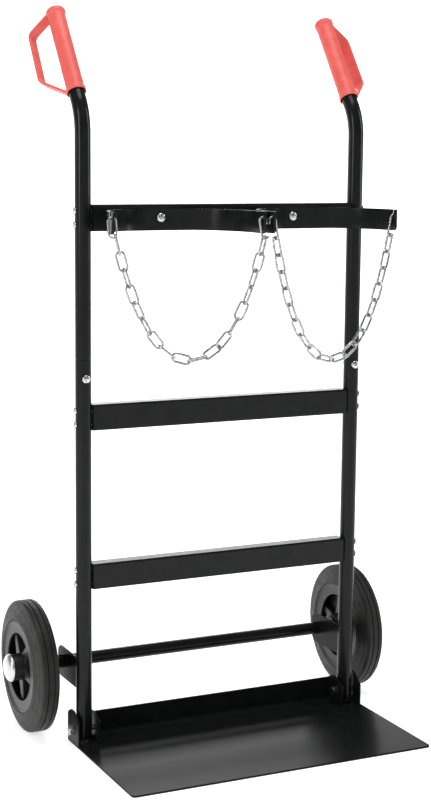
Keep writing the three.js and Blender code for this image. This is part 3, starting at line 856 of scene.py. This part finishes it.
def add_toe_plate():
    """Folded toe plate with its rear upstand and the ears round each foot."""
    start, end = low("toe_plate"), high("toe_plate")
    sheet = ear_sheet
    corner = 7
    half = end.x
    bend = 6
    upstand_top = 39.5
    upstand_end = tube_x - ear_face + 1.5
    bm = bmesh.new()
    outline = [
        (half, end.y),
        (-half, end.y),
        *arc((-half + corner, start.y + corner), corner, 180, 270, 10),
        *arc((half - corner, start.y + corner), corner, 270, 360, 10),
    ]
    prism(bm, outline, sheet, Matrix.Identity(4))
    bevel_sharp(bm, 0.6, 3)

    fold = bmesh.new()
    inner = end.y - sheet
    section = [
        (inner - bend - 1, sheet / 2),
        (end.y - 1.5, sheet / 2),
        (end.y, sheet / 2 + 1.5),
        (end.y, upstand_top),
        (inner, upstand_top),
        *arc((inner - bend, sheet + bend), bend, 0, -90, 12),
        (inner - bend - 1, sheet + 0.02),
    ]
    side_prism(fold, section, 2 * upstand_end, -upstand_end)
    bevel_sharp(fold, 0.5, 3, angle=60)
    merge(bm, fold)

    rear = end.y
    front = tube_y - 23
    bottom = 1
    outer_top = 51.5
    outer_ear = [
        (front, bottom),
        (rear, bottom),
        (rear, outer_top - 7),
        (rear - 11, outer_top),
        (front + 21, outer_top),
        (front, outer_top - 16),
    ]
    inner_top = 46
    inner_ear = [
        (front, bottom),
        (rear, bottom),
        (rear, inner_top - 7),
        (rear - 11, inner_top),
        (front + 22, inner_top),
        (front, inner_top - 9),
    ]
    for sign in SIDES.values():
        for offset in (-1, 1):
            x = sign * tube_x + (ear_face - sheet if offset > 0 else -ear_face)
            ear = outer_ear if offset == sign else inner_ear
            plate = bmesh.new()
            side_prism(plate, ear, sheet, x)
            upper = [
                e for e in plate.edges
                if abs(e.verts[0].co.x - e.verts[1].co.x) > 1 and min(v.co.z for v in e.verts) > 30
            ]
            bmesh.ops.bevel(plate, geom=upper, offset=2.5, segments=4, profile=0.5, affect="EDGES")
            bevel_sharp(plate, 0.5, 3, angle=60)
            merge(bm, plate)
    piece("toe_plate_folded", bm, plate_paint, "frame", ["toe_plate"],
          sharp=40)


# ------------------------------------------------------------------ cradles


def add_cradle(side, sign):
    """Half-ring strip with its straight inner arm, hanger hole and hanger notch."""
    node = f"cradle_{side}"
    start, end = low(node), high(node)
    center_x = sign * cradle_x
    center_y = end.y - cradle_radius
    inside = cradle_radius - cradle_sheet
    outline = [
        *arc((0, 0), cradle_radius, 0, 180, 96),
        (-cradle_radius, -cradle_arm),
        (-inside, -cradle_arm),
        *arc((0, 0), inside, 180, 0, 96),
    ]
    points = [(sign * a + center_x, b + center_y) for a, b in outline]
    bm = bmesh.new()
    prism(bm, points, end.z - start.z, Matrix.Translation((0, 0, start.z)))

    strip_radius = cradle_radius - cradle_sheet / 2
    outer_x = center_x + sign * strip_radius
    inner_x = center_x - sign * strip_radius
    outer_tip = center_y
    inner_tip = center_y - cradle_arm
    hook_hole = 3.4
    hook_z = 786.3
    notch_half = 2.4
    notch_z = hook_z - 1.2
    reach = 8
    cutters = []
    for x, tip, z, radius in (
        (inner_x, inner_tip, hook_z, hook_hole),
        (outer_x, outer_tip, notch_z, notch_half),
    ):
        y = tip + hanger_setback
        cutters.append(cylinder_cutter((x - reach, y, z), (x + reach, y, z), radius))
    notch_y = outer_tip + hanger_setback
    cutters.append(box_mesh(
        (outer_x - reach, notch_y - notch_half, notch_z),
        (outer_x + reach, notch_y + notch_half, end.z + 5),
    ))
    round_radius = 6
    past = 3
    round_z = start.z + round_radius
    for x, tip in ((inner_x, inner_tip), (outer_x, outer_tip)):
        cut = bmesh.new()
        round_y = tip + round_radius
        corner = [
            (tip - past, start.z - past),
            (round_y, start.z - past),
            (round_y, start.z - 0.01),
            *arc((round_y, round_z), round_radius, 270, 180, 8),
            (tip - past, round_z),
        ]
        side_prism(cut, corner, 2 * reach, x - reach)
        cutters.append(cut)
    bm = carved(bm, cutters)
    bevel_sharp(bm, 0.4, 2, angle=50)
    piece(f"cradle_strip_{side}", bm, paint, "frame", [node])


# ------------------------------------------------------------------ chains


hanger_z = 785
cradle_end_y = high("cradle_right").y - cradle_radius
outer_hanger = Vector((224.5, cradle_end_y + hanger_setback))
inner_hanger = Vector((7.5, cradle_end_y - cradle_arm + hanger_setback))
hanger_span = (outer_hanger - inner_hanger).length
chain_sag = 200
wire_radius = 1.85
end_wire_radius = 1.5
link_bend = 6.0
hook_reach = 31
end_link_reach = 25.8


def catenary_scale(half_span, sag):
    """The a of z = a cosh(x / a) for a span and sag."""
    lower, upper = 10.0, 1000.0
    for _ in range(60):
        guess = (lower + upper) / 2
        if guess * (math.cosh(half_span / guess) - 1) > sag:
            lower = guess
        else:
            upper = guess
    return lower


chain_scale = catenary_scale(hanger_span / 2, chain_sag)
chain_half = chain_scale * math.sinh(hanger_span / 2 / chain_scale)
hanger_lean = math.atan(chain_scale / chain_half)


def chain_point(length):
    """Point of the chain at a signed length from its lowest point, in its own frame."""
    x = chain_scale * math.asinh(length / chain_scale)
    return Vector((x, 0, chain_scale * (math.cosh(x / chain_scale) - 1) - chain_sag))


# How far each chain's right end sits to the right of an even curve, and how many times as deep
# as that curve it hangs.
chain_drift = {"left": 9.0, "right": 0.0}
chain_drop = {"left": 1.0, "right": 1.045}


def hung_point(side, length):
    """Point of a chain as it hangs, in its own frame."""
    even = chain_point(length)
    share = (length + chain_half) / (2 * chain_half)
    return Vector((even.x + chain_drift[side] * share, 0, even.z * chain_drop[side]))


def chain_place(sign):
    """Matrix from a chain's own frame to the cart's."""
    turn = math.atan2(outer_hanger.y - inner_hanger.y, outer_hanger.x - inner_hanger.x)
    spot = Vector((
        sign * (outer_hanger.x + inner_hanger.x) / 2,
        (outer_hanger.y + inner_hanger.y) / 2,
        hanger_z,
    ))
    return Matrix.Translation(spot) @ Matrix.Rotation(sign * turn, 4, "Z")


def link_path(pitch):
    """Centreline of a link along X, between contact points 0 and pitch."""
    steps = 9
    first = -wire_radius + link_bend
    last = pitch + wire_radius - link_bend
    left = arc((first, 0), link_bend, 90, 270, steps)
    right = arc((last, 0), link_bend, 270, 450, steps)
    return [Vector((x, y, 0)) for x, y in [*left, *right]]


# Turn of each link about its own length in degrees, from the left end to the right one.
link_rolls = {
    "left": (99, 9, 80, 0, 60, 125, 20, 95, 5, 65, 137, 15, 80, 165, 95, 40, 150, 45),
    "right": (80, 2, 84, -4, 88, 4, 86, -6, 58, 125, 186, 276, 360, 448, 356, 86, 4, 84),
}


def add_chain(side, sign):
    """Eighteen interlocked welded links along the hanging curve."""
    place = chain_place(sign)
    hook_fitting = hook_reach - wire_radius
    left_fitting = end_link_reach if side == "left" else hook_fitting
    start = -chain_half + left_fitting
    end = chain_half - hook_fitting
    rolls = link_rolls[side]
    pitch = (end - start) / len(rolls)
    weld_steps = (-1.8, -0.9, 0, 0.9, 1.8)
    weld_sizes = [0.9, 1.12, 1.2, 1.12, 0.9]
    bm = bmesh.new()
    for index, roll in enumerate(rolls):
        head = hung_point(side, start + pitch * index)
        tail = hung_point(side, start + pitch * (index + 1))
        length = (tail - head).length
        forward = (tail - head).normalized()
        across = Y_AXIS.cross(forward).normalized()
        turn = Matrix((forward, across, Y_AXIS)).transposed().to_4x4()
        spin = Matrix.Rotation(math.radians(roll), 4, "X")
        matrix = place @ Matrix.Translation(head) @ turn @ spin
        normal = matrix.to_3x3() @ Z_AXIS
        path = [matrix @ spot for spot in link_path(length)]
        sweep(bm, circle(wire_radius, 12), path, normal, closed=True)
        weld = [matrix @ Vector((length / 2 + step, link_bend, 0)) for step in weld_steps]
        sweep(bm, circle(wire_radius, 12), weld, normal, scales=weld_sizes)
    piece(f"chain_links_{side}", bm, chain_zinc, f"chain_{side}",
          [f"chain_{side}"], sharp=60)


def add_hook(side, sign, end):
    """Bent wire hook through a hole in the cradle, with an eye for the first link."""
    end_sign = -sign if end == "inner" else sign
    bend = 4.6
    reach = hook_reach - bend
    drift = chain_drift[side] * (1 - hook_reach / (2 * chain_half))
    eye = (
        drift - reach * math.sin(hanger_lean),
        -reach * math.cos(hanger_lean) * chain_drop[side],
    )
    run = [
        (bend + 0.9, -bend - 5.2),
        (bend + 0.2, -bend - 2.6),
        *arc((0, -bend), bend, 0, 180, 16),
        *arc(eye, bend, 180, 355, 18),
    ]
    place = chain_place(sign) @ Matrix.Translation((end_sign * hanger_span / 2, 0, 0))
    if end_sign < 0:
        place = place @ Matrix.Rotation(math.pi, 4, "Z")
    bm = bmesh.new()
    points = spaced([(a, 0, b) for a, b in run], 2.5)
    sizes = [0.55, 0.9] + [1] * (len(points) - 4) + [0.9, 0.55]
    path = [place @ point for point in points]
    sweep(bm, circle(wire_radius, 14), path, place.to_3x3() @ Y_AXIS, scales=sizes)
    piece(f"hook_wire_{side}_{end}", bm, chain_zinc, f"chain_{side}",
          [f"chain_hook_{side}_{end}"], sharp=60)


def add_end_link():
    """The last link of the left chain, dropped into the notch of its cradle."""
    place = chain_place(-1) @ Matrix.Translation((-hanger_span / 2, 0, 0))
    lean = math.radians(5)
    bend = 5.5
    top = arc((0, -bend), bend, 0, 180, 12)
    bottom = arc((0, -end_link_reach - wire_radius + bend), bend, 180, 360, 12)
    turn = Matrix.Rotation(-lean, 4, "Y")
    path = [place @ turn @ Vector((a, 0, b)) for a, b in [*top, *bottom]]
    bm = bmesh.new()
    sweep(bm, circle(end_wire_radius, 14), path, place.to_3x3() @ Y_AXIS, closed=True)
    piece("chain_link_end", bm, chain_zinc, "chain_left",
          ["chain_end_link"], sharp=60)


# ------------------------------------------------------------------ axle and wheels


def add_axle():
    """Tubular axle with turned ends."""
    start, end = low("axle"), high("axle")
    bm = bmesh.new()
    length = end.x - start.x
    revolve(bm, [
        (8, 0),
        (9.4, 0),
        (10, 0.6),
        (10, length - 0.6),
        (9.4, length),
        (8, length),
    ], along(X_AXIS, (start.x, wheel_y, wheel_z)), 64)
    piece("axle_tube", bm, paint, "frame", ["axle"])


def add_axle_bracket(side, sign):
    """Plate that carries the axle, with a weld bead on each of its faces along the upright."""
    node = f"axle_bracket_{side}"
    start, end = low(node), high(node)
    corner = 13
    outline = [
        (start.y, start.z),
        *arc((end.y - corner, start.z + corner), corner, 270, 360, 10),
        *arc((end.y - corner, end.z - corner), corner, 0, 90, 10),
        (start.y, end.z),
    ]
    bm = bmesh.new()
    side_prism(bm, outline, end.x - start.x, start.x)
    bevel_sharp(bm, 0.4)
    steps = 46
    for edge in (-1, 1):
        x = sign * tube_x + edge * 2.1
        path = []
        sizes = []
        for step in range(steps + 1):
            height = start.z + (end.z - start.z) * step / steps
            path.append(Vector((x, start.y + 0.1, height)))
            ripple = 1 + 0.12 * math.sin(step * 2.1)
            sizes.append(0.5 if step in (0, steps) else ripple)
        sweep(bm, circle(1.5, 10), path, Y_AXIS, scales=sizes)
    piece(f"axle_plate_{side}", bm, plate_paint, "frame", [node], sharp=40)


def tyre_half():
    """Half of the tyre's section as (radius, offset), from the middle of the tread to the bore."""
    return [
        (100, 0), (100, 2), (100, 3.3), (99.85, 3.6), (98.6, 4.0), (98.1, 4.3),
        (98.1, 4.9), (98.6, 5.2), (99.85, 5.6), (100, 5.9), (99.95, 8), (99.8, 10), (99.4, 11.2),
        (98.8, 12.0), (97.8, 12.7), (96.5, 13.2), (95.2, 13.6), (93.8, 13.9), (90, 14.8),
        (87.4, 15.4), (86.6, 15.9), (85.6, 16.2), (84.6, 16.1), (83.8, 16.1), (82, 16.7),
        (78, 17.7), (76.4, 18.1), (75.6, 18.6), (74.8, 18.9), (74.0, 18.9), (73.2, 18.8),
        (72.0, 19.1), (70.6, 19.4), (70.0, 19.1), (69.9, 18.2),
    ]


def mirrored(half):
    """A half section of (radius, offset) points, then its mirror image."""
    return half + [(radius, -offset) for radius, offset in reversed(half)]


def add_wheel(side, sign):
    """Tyre, spoked rim and bush on the wheel's body, with the washer and cap beside it."""
    body = f"wheel_{side}"
    place = along((sign, 0, 0), (sign * wheel_x, wheel_y, wheel_z))

    bm = bmesh.new()
    half = tyre_half()
    profile = [(r, -o) for r, o in reversed(half[1:])] + half
    revolve(bm, profile, place, 160)
    piece(f"tyre_ribbed_{side}", bm, rubber, body, [f"tyre_{side}"], sharp=38)

    bm = bmesh.new()
    edge = 19.0
    section = [
        (69.7, edge - 1.2),
        (69.2, edge - 0.3),
        (68.2, edge),
        (66.8, edge),
        (66.0, edge - 0.5),
        (65.4, edge - 1.1),
        (54.6, edge - 1.9),
        (53.6, edge - 1.5),
        (52.4, edge - 1.4),
        (51.4, edge - 1.8),
        (51.0, edge - 2.8),
        (51.4, edge - 4.6),
        (62.6, edge - 6.2),
        (63.4, 4),
        (60.0, 2.5),
        (20.0, 2.5),
    ]
    revolve(bm, mirrored(section), place, 128)
    hub = [(11.9, 28.0), (19.0, 28.0), (19.8, 27.5), (20.0, 26.5), (20.6, 12), (21.6, 8)]
    revolve(bm, mirrored(hub), place, 96)
    for spoke in range(5):
        turn = Matrix.Rotation(math.radians(spoke * 72 + 18), 4, "Z")
        arm = bmesh.new()
        stations = (
            (19, 9.0, 14.6), (24, 8.0, 14.2), (36, 6.4, 13.4),
            (50, 6.2, 12.6), (58, 7.6, 12.0), (65, 10.5, 11.6),
        )
        rings = []
        for reach, wide, deep in stations:
            corners = rounded_corner_points(
                [(-wide, -deep), (wide, -deep), (wide, deep), (-wide, deep)], 1.6, 4)
            rings.append([
                arm.verts.new(place @ turn @ Vector((reach, a, b))) for a, b in corners
            ])
        for first, second in zip(rings, rings[1:]):
            ring_faces(arm, first, second)
        arm.faces.new(rings[0])
        arm.faces.new(list(reversed(rings[-1])))
        merge(bm, arm)
    piece(f"rim_spoked_{side}", bm, rim_plastic, body, [f"wheel_rim_{side}"],
          sharp=34)

    bm = bmesh.new()
    revolve(bm, [
        (10.3, -28.5),
        (11.6, -28.5),
        (11.9, -28.1),
        (11.9, 28.1),
        (11.6, 28.5),
        (10.3, 28.5),
    ], place, 64)
    piece(f"bush_{side}", bm, black_plastic, body, [f"hub_bush_{side}"])

    bm = bmesh.new()
    revolve(bm, [
        (10.3, -30.4),
        (16.6, -30.4),
        (17, -30.1),
        (17, -29.1),
        (16.6, -28.8),
        (10.3, -28.8),
    ], place, 64)
    piece(f"washer_{side}", bm, black_plastic, "frame", [f"axle_washer_{side}"])

    bm = bmesh.new()
    base = 28.8
    socket = 34
    profile = [
        (10.3, socket),
        (10.3, base),
        (20.2, base),
        (20.8, base + 0.4),
        (21, base + 1.0),
        (21, base + 2.2),
    ]
    steps = 16
    for step in range(steps + 1):
        angle = math.pi / 2 * step / steps
        profile.append((
            20.7 * math.cos(angle) if step < steps else 0,
            base + 2.6 + 8.8 * math.sin(angle),
        ))
    profile.append((0, socket))
    revolve(bm, profile, place, 80, closed=False)
    piece(f"dome_cap_{side}", bm, chrome_cap, "frame", [f"hub_cap_{side}"])


# ------------------------------------------------------------------ stage


def add_stage():
    """Pale floor that sweeps up behind the cart."""
    bm = bmesh.new()
    front, back, top = -60.0, 6.6, 2.7
    half_width = 40
    radius = 1.2
    steps = 24
    run = [(front, 0.0), (back - radius, 0.0)]
    for step in range(1, steps + 1):
        angle = math.radians(90 * step / steps)
        run.append((back - radius + radius * math.sin(angle), radius - radius * math.cos(angle)))
    run.append((back, top))
    rows = []
    for y, z in run:
        rows.append([bm.verts.new((x, y, z)) for x in (-half_width, half_width)])
    for first, second in zip(rows, rows[1:]):
        face = bm.faces.new((first[0], first[1], second[1], second[0]))
        face.smooth = True
    mesh = bpy.data.meshes.new("studio_sweep")
    bm.to_mesh(mesh)
    bm.free()
    white = new_material("studio_white", (0.93, 0.93, 0.93), 0.9, specular=0.1)
    shader = white.node_tree.nodes["Principled BSDF"]
    shader.inputs["Emission Color"].default_value = (1, 1, 1, 1)
    shader.inputs["Emission Strength"].default_value = 0.62
    mesh.materials.append(white)
    floor = bpy.data.objects.new("studio_sweep", mesh)
    bpy.context.scene.collection.objects.link(floor)


def add_light(name, spot, target, size, power):
    """A soft square light aimed at a point."""
    data = bpy.data.lights.new(name, "AREA")
    data.shape = "RECTANGLE"
    data.size = size[0]
    data.size_y = size[1]
    data.energy = power
    light = bpy.data.objects.new(name, data)
    direction = Vector(target) - Vector(spot)
    turn = direction.to_track_quat("-Z", "Y").to_matrix().to_4x4()
    light.matrix_world = Matrix.Translation(spot) @ turn
    bpy.context.scene.collection.objects.link(light)


def add_lights():
    """Soft studio light, brightest from above and from the left."""
    world = bpy.data.worlds.new("studio")
    world.use_nodes = True
    background = world.node_tree.nodes["Background"]
    background.inputs["Color"].default_value = (1, 1, 1, 1)
    background.inputs["Strength"].default_value = 0.22
    bpy.context.scene.world = world
    add_light("overhead", (0.0, -0.2, 3.6), (0, 0.1, 0), (1.8, 1.8), 62)
    add_light("left", (-2.8, -1.0, 1.6), (0, 0, 0.6), (0.5, 2.0), 34)
    add_light("right", (2.6, -0.9, 1.5), (0, 0, 0.6), (0.4, 2.0), 24)
    add_light("behind", (1.35, 2.75, 1.95), (0, -0.1, 0.1), (1.1, 0.8), 17)
    add_light("backdrop", (1.5, 4.0, 3.6), (1.5, 6.4, 0.8), (7.0, 1.2), 190)
    scene = bpy.context.scene
    scene.view_settings.view_transform = "Standard"
    scene.view_settings.look = "None"


# ------------------------------------------------------------------ all of it


for name in ("top", "middle", "lower"):
    add_crossbar(name)
add_toe_plate()
add_axle()
add_fasteners()
add_end_link()
for side, sign in SIDES.items():
    add_lower_tube(side, sign)
    add_handle_tube(side, sign)
    add_foot_plug(side, sign)
    add_grip(side, sign)
    add_cradle(side, sign)
    add_axle_bracket(side, sign)
    add_wheel(side, sign)
    add_chain(side, sign)
    add_hook(side, sign, "inner")
add_hook("right", 1, "outer")
add_stage()
add_lights()
